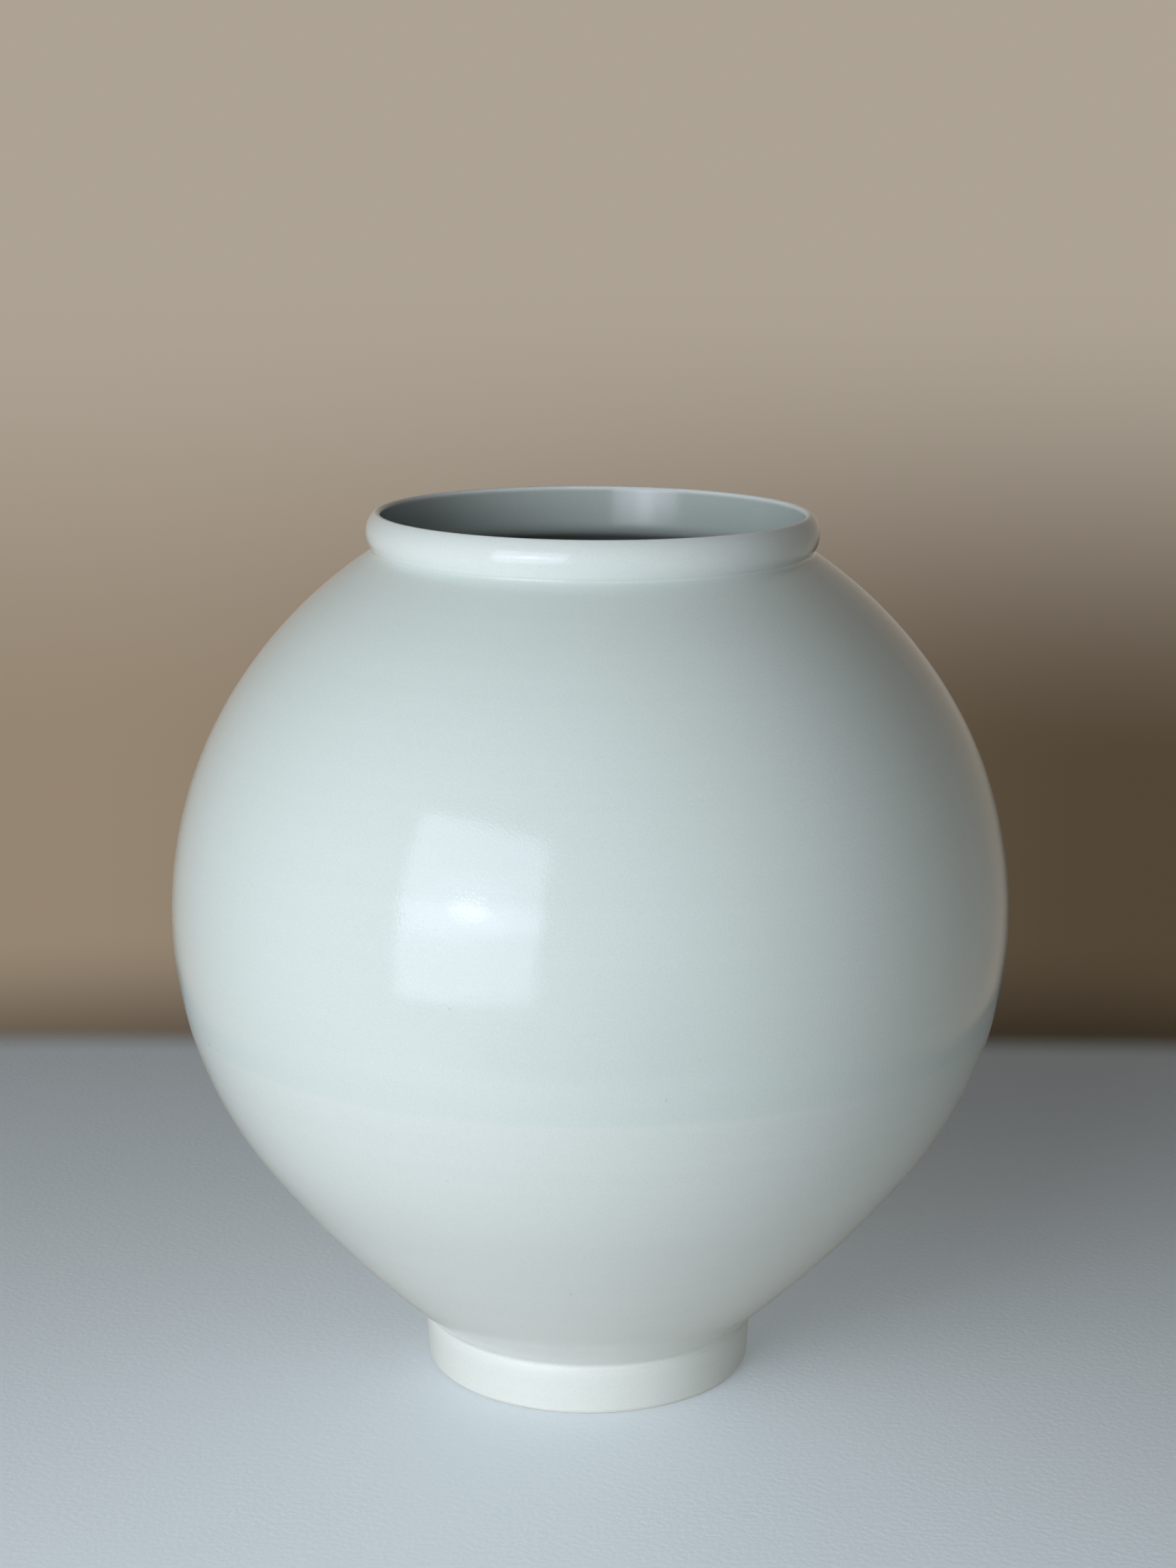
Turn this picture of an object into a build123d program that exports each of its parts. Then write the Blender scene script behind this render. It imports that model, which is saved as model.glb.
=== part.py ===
from build123d import *
import os
from collections import namedtuple
from math import acos, asin, atan2, cos, pi, radians, sin, sqrt, tan

# Bowls, clay sizes before glazing, in millimetres and degrees
belly_radius = 149.5
belly_height = 171.5
shoulder_radius = 76.4
shoulder_height = 300.5
shoulder_lean = 57.5
base_radius = 56.5
taper_lean = 50.0
wall = 5.0
floor_thickness = 9.0
floor_round = 30.0

# Joints between the pieces
slip_thickness = 0.6
tongue_width = 2.4
tongue_depth = 2.0
coil_height = 20.0
coil_bulge = 2.4

# Collar, measured from the shoulder's cut edge
collar_swell = 2.8
swell_rise = 6.7
lip_inset = 3.3
lip_rise = 12.1
lip_round = 1.0
throat_draft = 1.7
throat_round = 3.0

# Foot ring, measured from the edge of the lower bowl's base
foot_height = 17.2
foot_ledge = 3.3
foot_taper = 1.3
foot_wall = 9.5
well_draft = 2.0
foot_edge_round = 0.8

# Glaze coats
glaze_thickness = 0.5
bare_strip = 1.2
collar_pool = 1.6

# Levels and radii that follow from the sizes above
foot_seat = foot_height + slip_thickness
floor_height = foot_seat + floor_thickness
collar_seat = shoulder_height + slip_thickness
swell_height = shoulder_height + swell_rise
lip_height = shoulder_height + lip_rise
jar_top = lip_height + lip_round + glaze_thickness
swell_radius = shoulder_radius + collar_swell
lip_radius = swell_radius - lip_inset
throat_radius = lip_radius - lip_round - throat_draft
foot_top_radius = base_radius + foot_ledge
foot_base_radius = foot_top_radius - foot_taper
well_top_radius = base_radius - foot_wall
well_base_radius = well_top_radius + well_draft
foot_middle = (foot_base_radius + well_base_radius) / 2
wall_middle = wall / 2
cut_room = belly_radius

# An arc of the half section: its angles, in radians, count up from level for side 1 and down for side -1
Arc = namedtuple("Arc", "radius centre start stop side")


def wall_arcs(end_radius, end_height, lean, side):
    # Two tangent arcs from the upright wall at the belly to an end where the wall leans in
    turn = radians(lean)
    run = belly_radius - end_radius
    rise = side * (end_height - belly_height)
    along = run * sin(turn) + rise * (1 + cos(turn))
    slack = 1 - cos(turn)
    reach = (sqrt(along ** 2 + 2 * slack * (run ** 2 + rise ** 2)) - along) / (2 * slack)
    middle = atan2(run - reach * sin(turn), rise - reach * (1 + cos(turn)))
    near_radius = reach / tan(middle / 2)
    far_radius = reach / tan((turn - middle) / 2)
    near_centre = Vector(belly_radius - near_radius, belly_height)
    far_centre = near_centre + Vector(cos(middle), side * sin(middle)) * (near_radius - far_radius)
    return Arc(near_radius, near_centre, 0, middle, side), Arc(far_radius, far_centre, middle, turn, side)


upper_near, upper_far = wall_arcs(shoulder_radius, shoulder_height, shoulder_lean, 1)
lower_near, lower_far = wall_arcs(base_radius, foot_height, taper_lean, -1)


def arc_edge(arc):
    def point(angle):
        return arc.centre + Vector(cos(angle), arc.side * sin(angle)) * arc.radius

    return ThreePointArc(point(arc.start), point((arc.start + arc.stop) / 2), point(arc.stop))


def straight_edges(*points):
    return Polyline(*points).edges()


def wall_line(depth, top_angle, base_angle):
    # The wall's four arcs at a depth under its outer face, from the base up to the shoulder
    arcs = [lower_far._replace(stop=base_angle), lower_near, upper_near, upper_far._replace(stop=top_angle)]
    return [arc_edge(arc._replace(radius=arc.radius - depth)) for arc in arcs]


def collar_line():
    # Outline of the collar from the shoulder's edge, over its swell and lip, to the inside of the lip
    low_radius = (collar_swell ** 2 + swell_rise ** 2) / (2 * collar_swell)
    low_turn = asin(swell_rise / low_radius)
    rise = lip_height - swell_height
    top_radius = (lip_inset ** 2 + rise ** 2 - lip_round ** 2) / (2 * (lip_inset - lip_round))
    top_turn = atan2(rise, top_radius - lip_inset)
    low = Arc(low_radius, Vector(swell_radius - low_radius, swell_height), 0, low_turn, -1)
    top = Arc(top_radius, Vector(swell_radius - top_radius, swell_height), 0, top_turn, 1)
    lip = Arc(lip_round, Vector(lip_radius, lip_height), top_turn, pi, 1)
    return [arc_edge(arc) for arc in (low, top, lip)]


def block(low_radius, low_height, high_radius, high_height):
    # Level rectangle of the half section between two corners
    middle = Pos((low_radius + high_radius) / 2, (low_height + high_height) / 2)
    return middle * Rectangle(high_radius - low_radius, high_height - low_height)


def nearest(section, radius, height):
    return section.vertices().sort_by_distance((radius, height, 0))[0]


def clay_section():
    # Half section of all the thrown clay, foot, bowls and collar, in one outline
    throat_angle = acos((throat_radius - upper_far.centre.X) / (upper_far.radius - wall))
    floor_angle = asin((lower_far.centre.Y - floor_height) / (lower_far.radius - wall))
    outside = wall_line(0, upper_far.stop, lower_far.stop)
    inside = wall_line(wall, throat_angle, floor_angle)
    throat_end = inside[-1] @ 1
    floor_end = inside[0] @ 1
    foot = straight_edges((0, foot_seat), (well_top_radius, foot_seat), (well_base_radius, 0),
                          (foot_base_radius, 0), (foot_top_radius, foot_height), (base_radius, foot_height))
    throat = straight_edges((lip_radius - lip_round, lip_height), throat_end)
    floor = straight_edges(floor_end, (0, floor_height), (0, foot_seat))
    section = make_face(foot + outside + collar_line() + throat + inside + floor)
    foot_edges = [nearest(section, well_base_radius, 0), nearest(section, foot_base_radius, 0),
                  nearest(section, foot_top_radius, foot_height)]
    section = fillet(foot_edges, foot_edge_round)
    section = fillet(nearest(section, throat_end.X, throat_end.Y), throat_round)
    return fillet(nearest(section, floor_end.X, floor_end.Y), floor_round)


def below_joint(lift):
    # Everything under the V-shaped joint face, which stands lift above the belly's level
    middle = belly_radius - wall_middle
    level = belly_height + lift
    half = tongue_width / 2
    far = belly_radius + cut_room
    return make_face(straight_edges((0, level), (middle - half, level), (middle, level - tongue_depth),
                                    (middle + half, level), (far, level), (far, -cut_room), (0, -cut_room),
                                    (0, level)))


def inside_zone():
    # The jar's hollow with the inner half of its walls, open above the lip
    line = wall_line(wall_middle, upper_far.stop, lower_far.stop)
    neck = line[-1] @ 1
    base = line[0] @ 1
    above = jar_top + cut_room
    rest = straight_edges(neck, (lip_radius, lip_height), (lip_radius, above), (0, above),
                          (0, foot_seat + floor_thickness / 2), base)
    return make_face(line + rest)


def coil_section(clay):
    # Coil pressed flat over the inner face of the belly joint
    radius = (coil_height ** 2 / 4 + coil_bulge ** 2) / (2 * coil_bulge)
    crest = belly_radius - wall - coil_bulge
    round_coil = Pos(crest + radius, belly_height) * Circle(radius)
    return (round_coil & block(0, 0, belly_radius - wall_middle, jar_top)) - clay


def outer_coat(coat, hollow):
    # Coat of the outside, filled out where the glaze pools under the collar
    outside = block(foot_middle, bare_strip, belly_radius + cut_room, jar_top + cut_room)
    section = (coat - hollow) & outside
    corner = nearest(section, shoulder_radius + glaze_thickness, shoulder_height + glaze_thickness)
    return fillet(corner, collar_pool)


def piece_sections():
    clay = clay_section()
    coil = coil_section(clay)
    body = clay + coil
    coat = offset(body, glaze_thickness) - body
    hollow = inside_zone()
    foot = block(0, 0, belly_radius, foot_height)
    foot_joint = block(0, foot_height, belly_radius, foot_seat)
    collar_joint = block(0, shoulder_height, belly_radius, collar_seat)
    collar = block(0, collar_seat, belly_radius, jar_top)
    bowls = clay - foot - foot_joint - collar_joint - collar
    return {
        "lower_bowl": bowls & below_joint(0),
        "upper_bowl": bowls - below_joint(slip_thickness),
        "mouth_collar": clay & collar,
        "foot_ring": clay & foot,
        "belly_slip": clay & (below_joint(slip_thickness) - below_joint(0)),
        "collar_slip": clay & collar_joint,
        "foot_slip": clay & foot_joint,
        "seam_coil": coil,
        "outer_glaze": outer_coat(coat, hollow),
        "inner_glaze": coat & hollow,
        "well_glaze": coat & block(0, bare_strip, foot_middle, foot_seat),
    }


os.makedirs("parts", exist_ok=True)
for name, section in piece_sections().items():
    export_step(revolve(Plane.XZ * section, Axis.Z), f"parts/{name}.step")
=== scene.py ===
from math import asin, atan2, cos, pi, radians, sin, sqrt, tan

import bpy
import numpy as np
from mathutils import Matrix, Vector


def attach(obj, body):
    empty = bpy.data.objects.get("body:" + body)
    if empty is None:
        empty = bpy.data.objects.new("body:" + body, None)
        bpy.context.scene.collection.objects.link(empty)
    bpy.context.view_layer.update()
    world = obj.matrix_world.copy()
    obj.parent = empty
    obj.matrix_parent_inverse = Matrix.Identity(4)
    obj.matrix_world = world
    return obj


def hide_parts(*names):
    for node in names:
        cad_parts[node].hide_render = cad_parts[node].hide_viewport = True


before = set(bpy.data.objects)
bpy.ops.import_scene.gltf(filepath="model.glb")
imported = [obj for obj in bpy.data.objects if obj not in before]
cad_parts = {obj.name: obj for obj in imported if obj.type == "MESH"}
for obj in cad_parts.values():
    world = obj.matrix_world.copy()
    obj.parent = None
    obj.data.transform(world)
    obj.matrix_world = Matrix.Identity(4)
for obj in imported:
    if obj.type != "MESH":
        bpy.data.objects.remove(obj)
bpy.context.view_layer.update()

millimetre = 0.001
print("frame loaded:", len(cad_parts), "nodes")


class Wire:
    # one socket of a node tree, where + - * / add Math nodes
    def __init__(self, tree, socket=None):
        self.tree = tree
        self.socket = socket

    def node(self, kind, settings=None, sockets=None, out=0):
        made = self.tree.nodes.new(kind)
        for name, value in (settings or {}).items():
            setattr(made, name, value)
        for name, value in (sockets or {}).items():
            if isinstance(value, Wire):
                self.tree.links.new(value.socket, made.inputs[name])
            else:
                made.inputs[name].default_value = value
        return Wire(self.tree, made.outputs[out] if made.outputs else None)

    def out(self, name):  # another output of the same node
        return Wire(self.tree, self.socket.node.outputs[name])

    def maths(self, operation, *values):
        return self.node("ShaderNodeMath", {"operation": operation}, dict(enumerate(values)))

    def vectors(self, operation, sockets, out=0):
        return self.node("ShaderNodeVectorMath", {"operation": operation}, sockets, out)

    def __add__(self, other):
        return self.maths("ADD", self, other)

    def __radd__(self, other):
        return self.maths("ADD", other, self)

    def __sub__(self, other):
        return self.maths("SUBTRACT", self, other)

    def __rsub__(self, other):
        return self.maths("SUBTRACT", other, self)

    def __mul__(self, other):
        return self.maths("MULTIPLY", self, other)

    def __rmul__(self, other):
        return self.maths("MULTIPLY", other, self)

    def __truediv__(self, other):
        return self.maths("DIVIDE", self, other)

    def __rtruediv__(self, other):
        return self.maths("DIVIDE", other, self)

    def between(self, low, high):  # 0 at low, 1 at high, eased in between
        return self.node("ShaderNodeMapRange", {"interpolation_type": "SMOOTHSTEP"},
                         {"Value": self, "From Min": low, "From Max": high})

    def blend(self, first, second):  # self is the share of the second colour
        return self.node("ShaderNodeMix", {"data_type": "RGBA"}, {0: self, 6: first, 7: second}, 2)

    def scaled(self, factor):  # a colour or vector times a number
        return self.vectors("SCALE", {0: self, "Scale": factor})

    def noise(self, scale, detail=2.0):  # self is the place
        return self.node("ShaderNodeTexNoise", None, {"Vector": self, "Scale": scale, "Detail": detail})


def addObject(name, data):
    added = bpy.data.objects.new(name, data)
    bpy.context.scene.collection.objects.link(added)
    return added


# the turned section, in millimetres and degrees

bowl = {
    "bellyRadius": 149.5, "bellyHeight": 171.5,
    "shoulderRadius": 76.4, "shoulderHeight": 300.5, "shoulderLean": 57.5,
    "baseRadius": 56.5, "taperLean": 50.0,
    "wall": 5.0, "floorThickness": 9.0, "floorRound": 30.0,
    "coilHeight": 20.0, "coilBulge": 2.4,
}
collar = {
    "swell": 2.8, "swellRise": 6.7,
    "lipInset": 3.3, "lipRise": 12.1, "lipRound": 1.0,
    "throatDraft": 1.7,
}
foot = {
    "height": 17.2, "slip": 0.6,
    "ledge": 3.3, "taper": 1.3,
    "wall": 9.5, "wellDraft": 2.0, "edgeSoft": 0.6,
}
coat = {
    "thickness": 0.5, "bareStrip": 1.2,
    # how softly each corner melts, the foot's rim more where glaze covers it
    "edgeSoft": 0.22, "rimSoft": 0.6, "rimCover": 0.8, "ledgeSoft": 2.5, "wellSoft": 0.7,
    "poolSoft": 0.9, "throatSoft": 1.5, "coilSoft": 1.2,
    "evenPool": 0.5, "bendPool": 0.6,  # pooling on an even face, and how fast it falls on a bend
    "marksFrom": 5.0, "marksOver": 25.0,  # way from the coat's ends over which the throwing marks grow
}
drawing = {
    "step": 0.1,  # between the points of a drawn line
    "meltReach": 3.0, "meltShare": 0.45,  # softnesses that a corner melts over, and the most in one round
    "bendPoints": 12, "bendFade": 2.0,  # points each side that a bend is averaged over, and their fading
    "arcPoints": 80, "jointPoints": 400, "bodyPoints": 900, "throatPoints": 500, "insidePoints": 1200,
    "throatRoom": 4.0,  # how far the throat is drawn on below its end
    "leastRow": 0.08, "rowBend": 3.5,  # rows on a face that shows: the closest, and the bend between two
    "backRow": 8.0, "backBend": 9.0,  # rows on a face against the clay: the widest, and the bend
    "leastTurn": 1e-6,  # below this a line is straight, and two points are one
}


def wallArcs(endRadius, endRise, lean):
    # two tangent arcs from the upright belly to an end that leans in
    turn = radians(lean)
    run = bowl["bellyRadius"] - endRadius
    along = run * sin(turn) + endRise * (1 + cos(turn))
    slack = 1 - cos(turn)
    reach = (sqrt(along ** 2 + 2 * slack * (run ** 2 + endRise ** 2)) - along) / (2 * slack)
    middle = atan2(run - reach * sin(turn), endRise - reach * (1 + cos(turn)))
    near = reach / tan(middle / 2)
    far = reach / tan((turn - middle) / 2)
    nearX = bowl["bellyRadius"] - near
    return {"near": near, "far": far, "middle": middle, "nearX": nearX,
            "farX": nearX + (near - far) * cos(middle), "farRise": (near - far) * sin(middle)}


upperArcs = wallArcs(bowl["shoulderRadius"], bowl["shoulderHeight"] - bowl["bellyHeight"],
                     bowl["shoulderLean"])
lowerArcs = wallArcs(bowl["baseRadius"], bowl["bellyHeight"] - foot["height"], bowl["taperLean"])
lipCentre = (bowl["shoulderRadius"] + collar["swell"] - collar["lipInset"],
             bowl["shoulderHeight"] + collar["lipRise"])


def arcRadius(rise, depth, arcs):
    near = arcs["near"] - depth
    far = arcs["far"] - depth
    nearPart = arcs["nearX"] + np.sqrt(np.maximum(near ** 2 - rise ** 2, 0))
    farPart = arcs["farX"] + np.sqrt(np.maximum(far ** 2 - (rise - arcs["farRise"]) ** 2, 0))
    return np.where(rise < near * sin(arcs["middle"]), nearPart, farPart)


def wallRadius(height, depth):
    # radius of the bowls at a height, at a depth under their outer face
    rise = np.abs(height - bowl["bellyHeight"])
    return np.where(height < bowl["bellyHeight"], arcRadius(rise, depth, lowerArcs),
                    arcRadius(rise, depth, upperArcs))


def footFace(height):
    return bowl["baseRadius"] + foot["ledge"] - foot["taper"] * (1 - height / foot["height"])


def wellFace(height):
    return bowl["baseRadius"] - foot["wall"] + foot["wellDraft"] * (1 - height / foot["height"])


def arcPoints(centre, radius, start, stop):
    turn = np.linspace(start, stop, drawing["arcPoints"])
    return np.column_stack([centre[0] + radius * np.cos(turn), centre[1] + radius * np.sin(turn)])


def outsideLine(cover):
    # from the glaze's edge at the foot up to the crest of the lip, with cover of glaze on the clay
    strip = coat["bareStrip"]
    ledge = foot["height"] + cover
    ledgeEdge = footFace(foot["height"]) + cover
    taperStart = float(wallRadius(ledge, -cover))
    swellHeight = bowl["shoulderHeight"] + collar["swellRise"]
    swellRadius = bowl["shoulderRadius"] + collar["swell"]
    lowRadius = (collar["swell"] ** 2 + collar["swellRise"] ** 2) / (2 * collar["swell"])
    lowX = swellRadius - lowRadius
    rise = lipCentre[1] - swellHeight
    topRadius = (collar["lipInset"] ** 2 + rise ** 2 - collar["lipRound"] ** 2) / (
        2 * (collar["lipInset"] - collar["lipRound"]))
    topTurn = atan2(rise, topRadius - collar["lipInset"])
    near = np.linspace(bowl["shoulderHeight"] - cover, bowl["shoulderHeight"] + 2 * cover,
                       drawing["jointPoints"])
    lowArc = lowX + np.sqrt((lowRadius + cover) ** 2 - (near - swellHeight) ** 2)
    joint = near[np.argmax(lowArc >= wallRadius(near, -cover))]  # where the collar leaves the shoulder
    jointTurn = asin((joint - swellHeight) / (lowRadius + cover))
    body = np.linspace(ledge, joint, drawing["bodyPoints"])
    line = np.vstack([
        [(footFace(strip), strip), (footFace(strip) + cover, strip), (ledgeEdge, ledge)],
        np.column_stack([wallRadius(body, -cover), body]),
        arcPoints((lowX, swellHeight), lowRadius + cover, jointTurn, 0),
        arcPoints((swellRadius - topRadius, swellHeight), topRadius + cover, 0, topTurn),
        arcPoints(lipCentre, collar["lipRound"] + cover, topTurn, pi / 2),
    ])
    corners = [
        (coat["edgeSoft"], (footFace(strip) + cover, strip)),
        (coat["rimSoft"] + coat["rimCover"] * cover, (ledgeEdge, ledge)),
        (coat["ledgeSoft"], (taperStart, ledge)),
        (coat["poolSoft"], (float(wallRadius(joint, -cover)), joint)),
    ]
    return line, corners


def insideLine(cover):
    # from the crest of the lip down the throat and over the seam's coil to the middle of the floor
    depth = bowl["wall"] + cover
    belly = bowl["bellyHeight"]
    lipTop = lipCentre[1]
    mouth = lipCentre[0] - collar["lipRound"]
    throatX = mouth - collar["throatDraft"] - upperArcs["farX"]
    throatZ = belly + upperArcs["farRise"] + sqrt((upperArcs["far"] - bowl["wall"]) ** 2 - throatX ** 2)
    fall = np.linspace(lipTop, throatZ - drawing["throatRoom"], drawing["throatPoints"])
    throat = mouth - cover - collar["throatDraft"] * (lipTop - fall) / (lipTop - throatZ)
    leave = np.argmax(wallRadius(fall, depth) >= throat)
    coilRadius = (bowl["coilHeight"] ** 2 / 4 + bowl["coilBulge"] ** 2) / (2 * bowl["coilBulge"])
    coilX = bowl["bellyRadius"] - bowl["wall"] - bowl["coilBulge"] + coilRadius
    floor = foot["height"] + foot["slip"] + bowl["floorThickness"] + cover
    roundRadius = bowl["floorRound"] - cover  # the round between the wall and the floor
    roundZ = floor + roundRadius
    wallZ = belly - lowerArcs["farRise"]
    inner = lowerArcs["far"] - depth
    roundX = lowerArcs["farX"] + sqrt((inner - roundRadius) ** 2 - (roundZ - wallZ) ** 2)
    roundTurn = atan2(roundZ - wallZ, roundX - lowerArcs["farX"])
    wall = np.linspace(fall[leave], wallZ + inner * sin(roundTurn), drawing["insidePoints"])
    coil = coilX - np.sqrt((coilRadius + cover) ** 2 - np.minimum(np.abs(wall - belly), coilRadius) ** 2)
    wallX = np.minimum(wallRadius(wall, depth), coil)
    onCoil = np.flatnonzero(coil < wallRadius(wall, depth))
    line = np.vstack([
        arcPoints(lipCentre, collar["lipRound"] + cover, pi / 2, pi),
        np.column_stack([throat, fall])[:leave],
        np.column_stack([wallX, wall]),
        arcPoints((roundX, roundZ), roundRadius, roundTurn, -pi / 2),
        [(0, floor)],
    ])
    corners = [(coat["throatSoft"], (throat[leave], fall[leave]))]
    corners += [(coat["coilSoft"], (wallX[k], wall[k])) for k in (onCoil[0], onCoil[-1])]
    return line, corners


def lengthAlong(line):
    return np.concatenate([[0], np.cumsum(np.hypot(*np.diff(line[:, :2], axis=0).T))])


def softLine(line, corners):
    # the line in even steps, drawn round at its corners as melted glaze is
    step = drawing["step"]
    line = np.array(line, float)
    line = line[np.concatenate([[True], np.diff(lengthAlong(line)) > drawing["leastTurn"]])]
    along = lengthAlong(line)
    even = np.linspace(0, along[-1], int(along[-1] / step) + 1)
    line = np.column_stack([np.interp(even, along, line[:, k]) for k in (0, 1)])
    melt = np.zeros(len(line))
    for softness, corner in corners:
        middle = even[np.argmin(np.hypot(*(line - corner).T))]
        fading = np.exp(-((even - middle) / (drawing["meltReach"] * softness)) ** 4)
        melt = np.maximum(melt, softness ** 2 * fading)
    rounds = int(melt.max() / (drawing["meltShare"] * step ** 2)) + 1
    share = (melt / (rounds * step ** 2))[1:-1, None]
    for turn in range(rounds):
        line[1:-1] += share * ((line[:-2] + line[2:]) / 2 - line[1:-1])
    return line


def bending(line):
    # turn of the line in radians per millimetre, averaged over a few points
    points = drawing["bendPoints"]
    way = np.gradient(line, axis=0)
    turn = np.gradient(np.unwrap(np.arctan2(way[:, 1], way[:, 0]))) / np.hypot(*way.T)
    window = np.exp(-np.linspace(-drawing["bendFade"], drawing["bendFade"], 2 * points + 1) ** 2)
    return np.convolve(np.pad(turn, points, mode="edge"), window / window.sum(), "valid")


def thinned(line, widest, columns, bend=drawing["rowBend"]):
    # rows for the lathe: close together in tight curves, wide apart on long ones, with more columns
    points = drawing["bendPoints"]
    along = lengthAlong(line)
    turn = np.maximum(np.abs(bending(line)), drawing["leastTurn"])
    step = np.clip(radians(bend) / turn, drawing["leastRow"], widest)
    step = np.minimum.reduce([np.roll(step, k) for k in range(-points, points + 1)])
    count = np.concatenate([[0], np.cumsum(np.diff(along) / step[1:])])
    picked = np.interp(np.linspace(0, count[-1], int(count[-1]) + 2), count, along)
    table = np.column_stack([line] + columns)
    return np.column_stack([np.interp(picked, along, column) for column in table.T])


def coatRows(line, ends, widest):
    # radius, height, pooling, give to throwing marks, and joint, which is 1 where the coat meets another
    spots = np.arange(len(line))
    away = np.minimum(spots, len(line) - 1 - spots) * drawing["step"]
    give = np.clip((away - coat["marksFrom"]) / coat["marksOver"], 0, 1)
    pool = np.clip(coat["evenPool"] - coat["bendPool"] * bending(line), 0, 1)
    joint = np.isin(spots, ends).astype(float)
    return thinned(line, widest, [pool, give, joint])


def backRows(line, ends):
    # the same for the side that lies on the clay, which keeps its exact place
    pool = np.full(len(line), coat["evenPool"])
    joint = np.isin(np.arange(len(line)), ends).astype(float)
    return thinned(line, drawing["backRow"], [pool, np.zeros(len(line)), joint], drawing["backBend"])[::-1]


def jarLine(cover):
    # the whole line from the foot over the lip to the middle of the floor inside
    outside, outerCorners = outsideLine(cover)
    inside, innerCorners = insideLine(cover)
    return softLine(np.vstack([outside, inside]), outerCorners + innerCorners)


glazeLine = jarLine(coat["thickness"])
clayLine = jarLine(0.0)
print("section drawn:", len(glazeLine), "points, top", round(glazeLine[:, 1].max(), 2), "mm")


# the lathe: turns a section round the upright axis

turning = {
    "wanderScale": 9.0, "wanderDetail": 1.0, "wanderTurn": 9,  # how the swell strays from an even spiral
    "axisNear": 1e-7, "mergeNear": 1e-6,  # metres
    "jointShare": 0.9,  # a face with more joint than this is shaded flat
}


def latheTree():
    tree = bpy.data.node_groups.new("potterLathe", "GeometryNodeTree")
    sockets = {"Geometry": "Geometry", "Segments": "Int", "Swell Height": "Float", "Swell Pitch": "Float",
               "Out Of Round": "Float", "Seed": "Int", "Material": "Material"}
    for name, kind in sockets.items():
        tree.interface.new_socket(name, in_out="INPUT", socket_type="NodeSocket" + kind)
    tree.interface.new_socket("Geometry", in_out="OUTPUT", socket_type="NodeSocketGeometry")
    start = Wire(tree)
    given = start.node("NodeGroupInput")
    section = given.out("Geometry")
    count = start.node("GeometryNodeAttributeDomainSize", {"component": "MESH"}, {0: section}, "Point Count")
    index = start.node("GeometryNodeInputIndex")
    column = start.maths("FLOOR", index / count)
    row = index - column * count
    turn = column / given.out("Segments") * (2 * pi)

    def fromSection(kind, value):
        return start.node("GeometryNodeSampleIndex", {"data_type": kind},
                          {"Geometry": section, "Value": value, "Index": row})

    def named(name):
        return start.node("GeometryNodeInputNamedAttribute", {"data_type": "FLOAT"}, {"Name": name})

    place = fromSection("FLOAT_VECTOR", start.node("GeometryNodeInputPosition"))
    split = start.node("ShaderNodeSeparateXYZ", None, {0: place})
    radius = split.out("X")
    height = split.out("Z")
    east = start.maths("COSINE", turn)
    north = start.maths("SINE", turn)
    # the thrower's hand leaves a slow spiral swell and the jar settles a little out of round
    spot = start.node("ShaderNodeCombineXYZ", None, {0: radius * east, 1: radius * north, 2: height})
    wander = start.node("ShaderNodeTexNoise", {"noise_dimensions": "4D"},
                        {"Vector": spot, "W": given.out("Seed"), "Scale": turning["wanderScale"],
                         "Detail": turning["wanderDetail"]})
    spiral = height / given.out("Swell Pitch") * (2 * pi) - turn
    swell = start.maths("SINE", spiral + wander * turning["wanderTurn"])
    oval = start.maths("SINE", turn * 2 + given.out("Seed"))
    drop = given.out("Swell Height") * (swell + 1) * wander + given.out("Out Of Round") * (oval + 1) / 2
    drop = drop * fromSection("FLOAT", named("give"))
    moved = start.node("ShaderNodeCombineXYZ", None,
                       {0: (radius - drop) * east, 1: (radius - drop) * north, 2: height})
    mesh = start.node("GeometryNodeMeshGrid", None,
                      {"Vertices X": given.out("Segments") + 1, "Vertices Y": count})
    for name in ("pool", "joint"):
        mesh = start.node("GeometryNodeStoreNamedAttribute", {"data_type": "FLOAT", "domain": "POINT"},
                          {"Geometry": mesh, "Name": name, "Value": fromSection("FLOAT", named(name))})
    mesh = start.node("GeometryNodeSetPosition", None, {"Geometry": mesh, "Position": moved})
    flat = start.vectors("MULTIPLY", {0: start.node("GeometryNodeInputPosition"), 1: (1, 1, 0)})
    outward = start.vectors("LENGTH", {0: flat}, "Value")
    onAxis = start.maths("LESS_THAN", outward, turning["axisNear"])
    onJoint = start.maths("GREATER_THAN", named("joint"), turning["jointShare"])
    mesh = start.node("GeometryNodeDeleteGeometry", {"domain": "FACE"},
                      {"Geometry": mesh, "Selection": onAxis})
    mesh = start.node("GeometryNodeMergeByDistance", None,
                      {"Geometry": mesh, "Distance": turning["mergeNear"]})
    mesh = start.node("GeometryNodeSetShadeSmooth", {"domain": "FACE"}, {0: mesh, "Shade Smooth": True})
    mesh = start.node("GeometryNodeSetShadeSmooth", {"domain": "FACE"},
                      {0: mesh, "Selection": onJoint, "Shade Smooth": False})
    mesh = start.node("GeometryNodeRemoveAttribute", None, {"Geometry": mesh, "Name": "joint"})
    mesh = start.node("GeometryNodeRealizeInstances", None, {"Geometry": mesh})
    mesh = start.node("GeometryNodeSetMaterial", None, {"Geometry": mesh, "Material": given.out("Material")})
    start.node("NodeGroupOutput", None, {"Geometry": mesh})
    return tree


lathe = latheTree()


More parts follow.
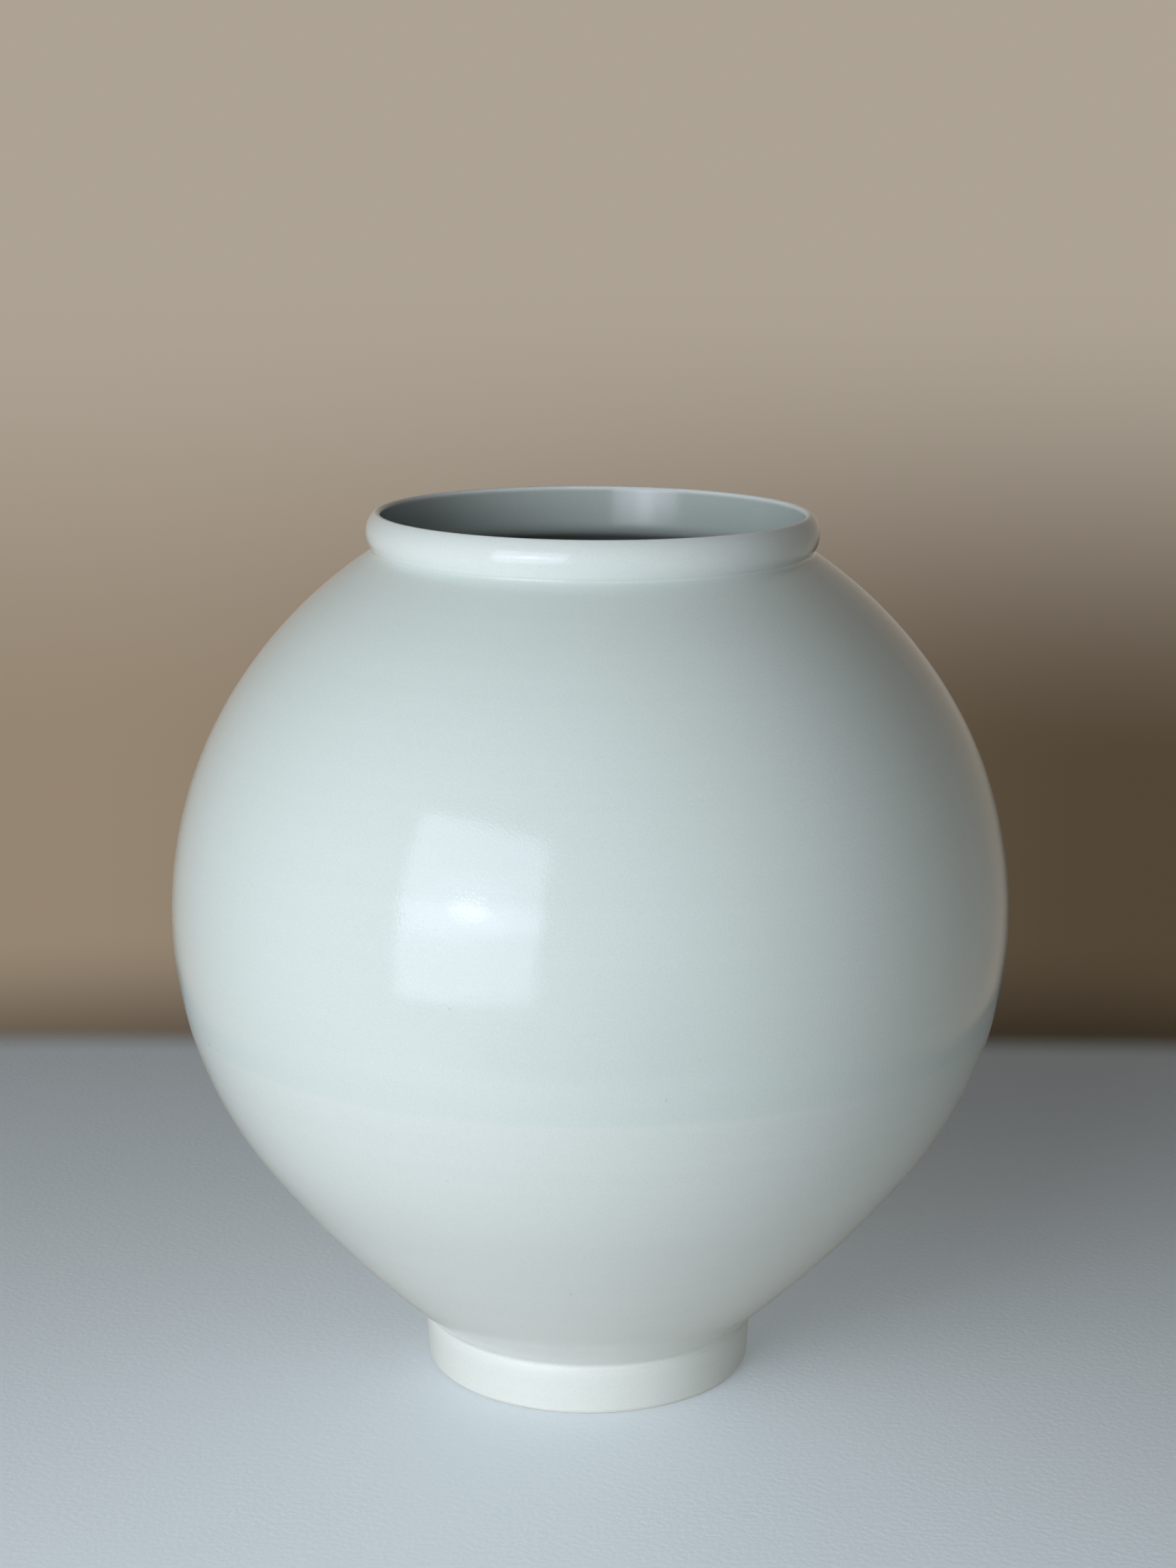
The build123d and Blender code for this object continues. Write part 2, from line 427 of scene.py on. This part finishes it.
def turnedPiece(name, table, sizes, material):
    section = bpy.data.meshes.new(name + "Section")
    points = [(radius * millimetre, 0, height * millimetre) for radius, height in table[:, :2]]
    section.from_pydata(points, [(k, k + 1) for k in range(len(points) - 1)], [])
    for column, label in enumerate(("pool", "give", "joint"), 2):
        section.attributes.new(label, "FLOAT", "POINT").data.foreach_set("value", table[:, column].copy())
    piece = addObject(name, section)
    modifier = piece.modifiers.new("lathe", "NODES")
    modifier.node_group = lathe
    values = {"Segments": sizes["segments"], "Swell Height": sizes["swellHeight"] * millimetre,
              "Swell Pitch": sizes["swellPitch"] * millimetre,
              "Out Of Round": sizes["outOfRound"] * millimetre, "Seed": sizes["seed"], "Material": material}
    for socket in lathe.interface.items_tree:
        if socket.in_out == "INPUT" and socket.name in values:
            modifier[socket.identifier] = values[socket.name]
    evaluated = piece.evaluated_get(bpy.context.evaluated_depsgraph_get())
    turned = bpy.data.meshes.new_from_object(evaluated)
    piece.modifiers.clear()
    piece.data = turned
    turned.name = name
    bpy.data.meshes.remove(section)
    print(name, "turned:", len(table), "rows,", len(turned.polygons), "faces")
    return piece


# finishes

glazeFinish = {
    "body": (0.668, 0.735, 0.716, 1), "deep": (0.652, 0.727, 0.707, 1),
    "cream": (0.695, 0.748, 0.728, 1), "base": (0.735, 0.775, 0.755, 1), "foot": (0.745, 0.785, 0.757, 1),
    # the collar's glaze is whiter than the body's; its lighter lower colour and darker top colour are painted
    # light and shade
    "collarLowLit": (0.755, 0.81, 0.79, 1), "collarTopShaded": (0.705, 0.76, 0.745, 1),
    "thin": (0.88, 0.91, 0.92, 1), "pooled": (0.655, 0.715, 0.69, 1),
    # the two darker inside colours here are painted shade for the inside of the jar; iron is the specks' own
    # colour
    "shadedLiner": (0.275, 0.315, 0.30, 1), "throat": (0.45, 0.512, 0.502, 1), "iron": (0.33, 0.31, 0.27, 1),
    # heights in metres between which one shade gives way to the next
    "footBand": (0.0180, 0.0215), "baseBand": (0.02, 0.12), "poolBand": (0.05, 0.1),
    # topBand is where the collar's painted light gives way to its painted shade
    "creamBand": (0.1365, 0.1392), "collarBand": (0.3004, 0.3024), "topBand": (0.3035, 0.3105),
    # the first two bands here set where painted shade darkens the inside of the jar
    "deepShadeBand": (0.200, 0.255), "throatShadeBand": (0.2955, 0.3015), "lipBand": (0.3118, 0.3137),
    "roughness": 0.06, "footRoughness": 0.42, "linerRoughness": 0.16, "collarRoughness": 0.025, "ior": 1.5,
    # orange-peel skin, its heights in millimetres, and the finer grain in it
    "peelScale": 1150, "peelHeight": 0.032, "linerPeel": 0.01, "collarPeel": 0.012,
    "mottleScale": 2300, "mottleTint": 0.18, "mottleGloss": 0.03, "fineDetail": 1.0,
    # level rings, and the slow drift between body and deep
    "ringStretch": (4, 4, 260), "ringScale": 1.0, "ringDetail": 3.0, "ringTint": 0.03, "ringHeight": 0.012,
    "driftScale": 7.0, "driftBand": (0.35, 0.65),
    # where the glaze counts as pooled or thin, and the second gloss of a pool
    "poolShare": (0.55, 1.0), "thinShare": (0.0, 0.42), "thinOnFoot": 0.8,
    "poolCoat": 0.5, "coatRoughness": 0.03, "coatIor": 1.6,
    # sparse iron specks all round
    "cellScale": 48.0, "cellSpeck": (0.012, 0.03), "cellChance": (0.7, 0.72), "cellIron": 0.6,
    # iron specks where they sit on the jar, in metres, with their reach
    "specks": [((-0.006, -0.1046, 0.0642), 0.0011), ((0.024, -0.1459, 0.1468), 0.0007),
               ((-0.0457, -0.1301, 0.1136), 0.0006)],
    "speckWobble": 0.0008, "speckCore": 0.2, "speckIron": 0.22,
}
clayFinish = {"body": (0.79, 0.80, 0.765, 1), "cloud": (0.75, 0.755, 0.715, 1), "roughness": 0.62,
              "grainScale": 2600.0}
slipFinish = {"body": (0.76, 0.745, 0.70, 1), "cloud": (0.70, 0.685, 0.64, 1), "roughness": 0.72,
              "grainScale": 1500.0}
clayGrain = {
    "cloudScale": 40.0, "cloudBand": (0.3, 0.7),
    "grainDetail": 3.0, "grainTint": 0.16, "grainHeight": 0.03, "grainGloss": 0.2,
    "markScale": 900.0, "markDetail": 1.0, "markTint": 0.05, "markHeight": 0.04,
}


def newMaterial(name):
    material = bpy.data.materials.new(name)
    material.use_nodes = True
    material.node_tree.nodes.clear()
    return material, Wire(material.node_tree)


def celadonGlaze(name, lined):
    # lined is True for the coat inside, whose colour carries painted shade just below the lip and deep down
    finish = glazeFinish
    material, start = newMaterial(name)
    place = start.node("ShaderNodeTexCoord", out="Object")
    height = start.node("ShaderNodeSeparateXYZ", None, {0: place}, "Z")
    drift = place.noise(finish["driftScale"]).between(*finish["driftBand"])
    level = start.node("ShaderNodeMapping", None, {"Vector": place, "Scale": finish["ringStretch"]})
    rings = level.noise(finish["ringScale"], finish["ringDetail"])
    peel = place.noise(finish["peelScale"], finish["fineDetail"])
    mottle = place.noise(finish["mottleScale"], finish["fineDetail"])
    pool = start.node("ShaderNodeAttribute", {"attribute_name": "pool"}, out="Fac")
    onFoot = 1 - height.between(*finish["footBand"])
    upper = drift.blend(finish["body"], finish["deep"])
    lower = height.between(*finish["baseBand"]).blend(finish["base"], finish["cream"])
    # the collar's whiter glaze, with painted light on its lower half and painted shade towards the lip
    collarLitAndShaded = height.between(*finish["topBand"]).blend(finish["collarLowLit"], finish["collarTopShaded"])
    colour = height.between(*finish["creamBand"]).blend(lower, upper)
    colour = onFoot.blend(colour, finish["foot"])
    colour = height.between(*finish["collarBand"]).blend(colour, collarLitAndShaded)
    pooling = pool.between(*finish["poolShare"]) * height.between(*finish["poolBand"])
    colour = pooling.blend(colour, finish["pooled"])
    thinning = (1 - pool.between(*finish["thinShare"])) * (1 - onFoot * finish["thinOnFoot"])
    colour = thinning.blend(colour, finish["thin"])
    # painted shade inside the jar: darker at the throat just below the lip, and darkest deep down
    if lined:
        inside = height.between(*finish["deepShadeBand"]).blend(colour, finish["shadedLiner"])
        inside = height.between(*finish["throatShadeBand"]).blend(inside, finish["throat"])
        colour = height.between(*finish["lipBand"]).blend(inside, colour)
    colour = colour.scaled(1 + (rings - 0.5) * finish["ringTint"] + (mottle - 0.5) * finish["mottleTint"])
    # sparse iron specks all round, and the larger ones that stand out on the front
    cells = start.node("ShaderNodeTexVoronoi", None, {"Vector": place, "Scale": finish["cellScale"]})
    chance = start.node("ShaderNodeSeparateColor", None, {0: cells.out("Color")})
    iron = (1 - cells.between(*finish["cellSpeck"])) * chance.between(*finish["cellChance"])
    iron = iron * finish["cellIron"]
    for spot, reach in finish["specks"]:
        away = start.vectors("DISTANCE", {0: place, 1: spot}, "Value")
        away = away + (mottle - 0.5) * finish["speckWobble"]
        speck = (1 - away.between(reach * finish["speckCore"], reach)) * finish["speckIron"]
        iron = start.maths("MAXIMUM", iron, speck)
    colour = iron.blend(colour, finish["iron"])
    # the foot is duller, the collar and its lip are smoother
    calm = height.between(*finish["lipBand" if lined else "collarBand"])
    smooth = finish["linerRoughness" if lined else "roughness"]
    gloss = smooth + (mottle - 0.5) * finish["mottleGloss"] + onFoot * (finish["footRoughness"] - smooth)
    gloss = gloss + calm * (finish["collarRoughness"] - smooth)
    skin = finish["linerPeel" if lined else "peelHeight"]
    skin = skin + calm * (finish["collarPeel"] - skin)
    bump = start.node("ShaderNodeBump", None, {
        "Strength": 1.0, "Distance": millimetre, "Height": peel * skin + rings * finish["ringHeight"]})
    shader = start.node("ShaderNodeBsdfPrincipled", None, {
        "Base Color": colour, "Roughness": gloss, "IOR": finish["ior"], "Normal": bump,
        "Coat Weight": pooling * finish["poolCoat"], "Coat Roughness": finish["coatRoughness"],
        "Coat IOR": finish["coatIor"]})
    start.node("ShaderNodeOutputMaterial", None, {"Surface": shader})
    return material


def firedClay(name, finish):
    # bare porcelain: fine sandy grain and the level marks of the turning tool
    material, start = newMaterial(name)
    place = start.node("ShaderNodeTexCoord", out="Object")
    split = start.node("ShaderNodeSeparateXYZ", None, {0: place})
    flat = start.vectors("MULTIPLY", {0: place, 1: (1, 1, 0)})
    outward = start.vectors("LENGTH", {0: flat}, "Value")
    section = start.node("ShaderNodeCombineXYZ", None, {0: outward, 1: split.out("Z")})
    marks = section.noise(clayGrain["markScale"], clayGrain["markDetail"])
    grain = place.noise(finish["grainScale"], clayGrain["grainDetail"])
    cloud = place.noise(clayGrain["cloudScale"]).between(*clayGrain["cloudBand"])
    tint = 1 + (grain - 0.5) * clayGrain["grainTint"] + (marks - 0.5) * clayGrain["markTint"]
    rise = grain * clayGrain["grainHeight"] + marks * clayGrain["markHeight"]
    bump = start.node("ShaderNodeBump", None, {"Strength": 1.0, "Distance": millimetre, "Height": rise})
    shader = start.node("ShaderNodeBsdfPrincipled", None, {
        "Base Color": cloud.blend(finish["body"], finish["cloud"]).scaled(tint),
        "Roughness": finish["roughness"] + (grain - 0.5) * clayGrain["grainGloss"], "Normal": bump})
    start.node("ShaderNodeOutputMaterial", None, {"Surface": shader})
    return material


glaze = celadonGlaze("celadonGlaze", False)
# the inner coat, with painted shade inside the jar
shadedLiner = celadonGlaze("shadedLinerGlaze", True)
clay = firedClay("barePorcelain", clayFinish)
slip = firedClay("driedSlip", slipFinish)
print("finishes mixed")


# pieces

outerGlaze = {"segments": 216, "widest": 2.4,
              "swellHeight": 0.03, "swellPitch": 15.0, "outOfRound": 0.12, "seed": 3}
innerGlaze = {"segments": 216, "widest": 4.0,
              "swellHeight": 0.05, "swellPitch": 12.0, "outOfRound": 0.1, "seed": 8}
wellGlaze = {"segments": 160, "widest": 3.0,
             "swellHeight": 0.0, "swellPitch": 10.0, "outOfRound": 0.0, "seed": 1}
footRing = {"segments": 240, "widest": 2.0,
            "swellHeight": 0.0, "swellPitch": 10.0, "outOfRound": 0.0, "seed": 1}


def dressed(piece, node):
    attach(piece, "root")
    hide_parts(node)


glazeCrest = int(np.argmax(glazeLine[:, 1]))
clayCrest = int(np.argmax(clayLine[:, 1]))

front = coatRows(glazeLine[:glazeCrest + 1], [glazeCrest], outerGlaze["widest"])
back = backRows(clayLine[:clayCrest + 1], [clayCrest])
outer = turnedPiece("outerGlaze", np.vstack([front, back]), outerGlaze, glaze)
dressed(outer, "outer_glaze")

front = coatRows(glazeLine[glazeCrest:], [0], innerGlaze["widest"])
back = backRows(clayLine[clayCrest:], [0])
inner = turnedPiece("innerGlaze", np.vstack([front, back, front[:1]]), innerGlaze, shadedLiner)
dressed(inner, "inner_glaze")

edge = coat["bareStrip"]
seat = foot["height"] + foot["slip"]
wellTop = wellFace(foot["height"])
wellEdge = (wellFace(edge) - coat["thickness"], edge)
wellCorner = (wellTop - coat["thickness"], seat - coat["thickness"])
wellLine = softLine([(wellFace(edge), edge), wellEdge, wellCorner, (0, wellCorner[1])],
                    [(coat["edgeSoft"], wellEdge), (coat["wellSoft"], wellCorner)])
front = coatRows(wellLine, [], wellGlaze["widest"])
back = backRows(softLine([(wellFace(edge), edge), (wellTop, seat), (0, seat)], []), [])
rows = np.vstack([front, back])[::-1]  # the other way round, because it faces down
well = turnedPiece("wellGlaze", rows, wellGlaze, glaze)
dressed(well, "well_glaze")

footTop = (wellTop, foot["height"])
footCorners = [(wellFace(0), 0), (footFace(0), 0), (footFace(foot["height"]), foot["height"])]
footLine = softLine([footTop] + footCorners + [footTop],
                    [(foot["edgeSoft"], corner) for corner in footCorners])
even = np.full(len(footLine), coat["evenPool"])
ring = turnedPiece("footRing", thinned(footLine, footRing["widest"], [even] * 3), footRing, clay)
dressed(ring, "foot_ring")

for node, material in {"lower_bowl": clay, "upper_bowl": clay, "mouth_collar": clay, "seam_coil": clay,
                       "belly_slip": slip, "collar_slip": slip, "foot_slip": slip}.items():
    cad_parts[node].material_slots[0].material = material
print("jar dressed")


# floor and backdrop

stage = {
    "half": 0.46, "fadeFrom": 0.350, "fadeTo": 0.395, "square": 6,
    "colour": (0.59, 0.645, 0.695, 1), "bounce": (0.50, 0.50, 0.49, 1),
    "roughness": 0.55, "grain": 420, "grainHeight": 0.12,
}
backdrop = {
    "top": (0.42, 0.365, 0.30, 1), "lightSide": (0.30, 0.235, 0.17, 1), "dimSide": (0.085, 0.062, 0.038, 1),
    "beside": (0.42, 0.34, 0.26, 1),
    "groundGlow": (0.03, 0.03, 0.03, 1), "skyGlow": (0.01, 0.01, 0.01, 1),
    # where one gives way to the next, by the direction of a ray, and the shade left at the foot
    "sideBand": (-0.19, 0.19), "topBand": (-0.21, -0.04), "besideBand": (0.28, 0.55), "glowBand": (-0.05, 0.2),
    "footBand": (-0.312, -0.265), "footShade": 0.3,
}


def paleFloor():
    material, start = newMaterial("paleFloor")
    place = start.node("ShaderNodeTexCoord", out="Object")
    split = start.node("ShaderNodeSeparateXYZ", None, {0: place})
    across = start.maths("POWER", split.out("X") * split.out("X"), stage["square"])
    along = start.maths("POWER", split.out("Y") * split.out("Y"), stage["square"])
    outward = start.maths("POWER", across + along, 0.5 / stage["square"])  # a square with round corners
    grain = place.noise(stage["grain"])
    bump = start.node("ShaderNodeBump", None,
                      {"Distance": millimetre, "Height": grain * stage["grainHeight"]})
    seen = start.node("ShaderNodeLightPath", out="Is Camera Ray")
    paint = start.node("ShaderNodeBsdfPrincipled", None, {
        "Base Color": seen.blend(stage["bounce"], stage["colour"]), "Roughness": stage["roughness"],
        "Normal": bump})
    clear = start.node("ShaderNodeBsdfTransparent")
    fade = outward.between(stage["fadeFrom"], stage["fadeTo"])
    mixed = start.node("ShaderNodeMixShader", None, {0: fade, 1: paint, 2: clear})
    start.node("ShaderNodeOutputMaterial", None, {"Surface": mixed})
    return material


def plainBackdrop():
    world = bpy.data.worlds.new("plainBackdrop")
    world.use_nodes = True
    world.node_tree.nodes.clear()
    start = Wire(world.node_tree)
    path = start.node("ShaderNodeLightPath")
    seen = start.maths("MAXIMUM", path.out("Is Camera Ray"), path.out("Is Glossy Ray"))
    seen = start.maths("MAXIMUM", seen, path.out("Is Transmission Ray"))
    way = start.node("ShaderNodeTexCoord", out="Generated")
    split = start.node("ShaderNodeSeparateXYZ", None, {0: way})
    across = split.out("X")
    up = split.out("Z")
    shade = across.between(*backdrop["sideBand"]).blend(backdrop["lightSide"], backdrop["dimSide"])
    footRise = up.between(*backdrop["footBand"])
    shade = shade.scaled(backdrop["footShade"] + (1 - backdrop["footShade"]) * footRise)
    shade = up.between(*backdrop["topBand"]).blend(shade, backdrop["top"])
    aside = start.maths("ABSOLUTE", across).between(*backdrop["besideBand"])  # only the jar's edges mirror this
    shade = aside.blend(shade, backdrop["beside"])
    dim = up.between(*backdrop["glowBand"]).blend(backdrop["groundGlow"], backdrop["skyGlow"])
    light = start.node("ShaderNodeBackground", None, {"Color": seen.blend(dim, shade)})
    start.node("ShaderNodeOutputWorld", None, {"Surface": light})
    bpy.context.scene.world = world


floorMesh = bpy.data.meshes.new("floor")
floorCorners = [(east * stage["half"], north * stage["half"], 0)
                for east, north in ((-1, -1), (1, -1), (1, 1), (-1, 1))]
floorMesh.from_pydata(floorCorners, [], [range(len(floorCorners))])
floorMesh.materials.append(paleFloor())
floor = addObject("floor", floorMesh)
plainBackdrop()


# lamps, in metres and degrees

# the large window lamp: its middle and the way it faces, then its pane and brighter spots by their place on it
window = {"place": (-0.717, -1.250, 0.459), "faces": (0.652, 0.745, -0.141)}
pane = {"across": 0.0, "up": 0.0, "ahead": 0.0, "wide": 0.98, "tall": 1.17, "tilt": 0.8,
        "radiance": 2.0, "colour": (0.92, 0.98, 1.26)}
band = {"across": 0.023, "up": -0.043, "ahead": 0.02, "wide": 0.985, "tall": 0.215, "tilt": 6.0,
        "radiance": 1.2, "colour": (0.95, 0.97, 1.12)}
haze = {"across": -0.02, "up": 0.01, "ahead": 0.03, "wide": 0.66, "tall": 0.44, "tilt": 4.0,
        "radiance": 0.6, "colour": (0.95, 0.97, 1.12)}
bulb = {"across": -0.02, "up": 0.014, "ahead": 0.04, "wide": 0.26, "tall": 0.13, "tilt": 4.0,
        "radiance": 3.4, "colour": (0.97, 1.0, 1.03)}
# soft lamps that the glaze doesn't mirror
glow = {"place": (-0.75, -1.15, 0.45), "aim": (0, 0, 0.2), "wide": 1.0, "tall": 0.8,
        "radiance": 2.7, "colour": (0.95, 1.0, 0.905)}
high = {"place": (-0.76, -1.03, 0.82), "aim": (0, 0, 0.2), "wide": 1.2, "tall": 1.0,
        "radiance": 1.3, "colour": (0.95, 1.0, 0.92)}
fill = {"place": (0.84, -0.90, 0.25), "aim": (0, 0, 0.2), "wide": 1.1, "tall": 0.3,
        "radiance": 1.95, "colour": (0.91, 1.0, 1.0)}
behind = {"place": (0.0, 1.45, 0.22), "aim": (0, 0, 0.17), "wide": 1.0, "tall": 0.6,
          "radiance": 7.0, "colour": (1.0, 1.0, 1.0)}
canopy = {"place": (-0.10, -0.95, 0.55), "aim": (-0.05, -0.40, 0), "wide": 1.0, "tall": 0.7,
          "radiance": 3.05, "colour": (0.985, 1.0, 0.98)}


def lamp(name, sizes, shape, place, aim, tilt=0.0):
    light = bpy.data.lights.new(name, "AREA")
    light.shape = shape
    light.size = sizes["wide"]
    light.size_y = sizes["tall"]
    light.color = sizes["colour"]
    area = sizes["wide"] * sizes["tall"] * (pi / 4 if shape == "ELLIPSE" else 1)
    light.energy = sizes["radiance"] * pi * area
    holder = addObject(name, light)
    facing = (Vector(aim) - Vector(place)).to_track_quat("-Z", "Y").to_matrix().to_4x4()
    holder.matrix_world = Matrix.Translation(place) @ facing @ Matrix.Rotation(radians(tilt), 4, "Z")
    holder.visible_camera = False
    return holder


def onWindow(sizes):
    # place of a lamp on the window, and the point straight ahead of it
    ahead = Vector(window["faces"]).normalized()
    across = ahead.cross((0, 0, 1)).normalized()
    place = (Vector(window["place"]) + across * sizes["across"] + across.cross(ahead) * sizes["up"]
             + ahead * sizes["ahead"])
    return place, place + ahead


for name, sizes, shape in (("pane", pane, "RECTANGLE"), ("band", band, "RECTANGLE"),
                           ("haze", haze, "ELLIPSE"), ("bulb", bulb, "ELLIPSE")):
    lamp(name, sizes, shape, *onWindow(sizes), sizes["tilt"])
for name, sizes, lit in (("glow", glow, None), ("high", high, None), ("fill", fill, None),
                         ("behind", behind, [outer, inner, well, ring]), ("canopy", canopy, [floor])):
    soft = lamp(name, sizes, "RECTANGLE", sizes["place"], sizes["aim"])
    soft.visible_glossy = False
    if lit:  # these two reach only what they are for
        reach = bpy.data.collections.new(name + "Reach")
        for piece in lit:
            reach.objects.link(piece)
        soft.light_linking.receiver_collection = reach
        soft.light_linking.blocker_collection = reach
print("stage lit")


viewer = {"place": (-0.0012, -1.0013, 0.4399), "tip": 77.389, "roll": 0.33, "lens": 65.75}

camera = addObject("camera", bpy.data.cameras.new("camera"))
camera.data.lens = viewer["lens"]
camera.matrix_world = (Matrix.Translation(viewer["place"]) @ Matrix.Rotation(radians(viewer["tip"]), 4, "X")
                       @ Matrix.Rotation(radians(viewer["roll"]), 4, "Z"))
bpy.context.scene.camera = camera
bpy.context.scene.view_settings.view_transform = "Standard"
print("camera placed")
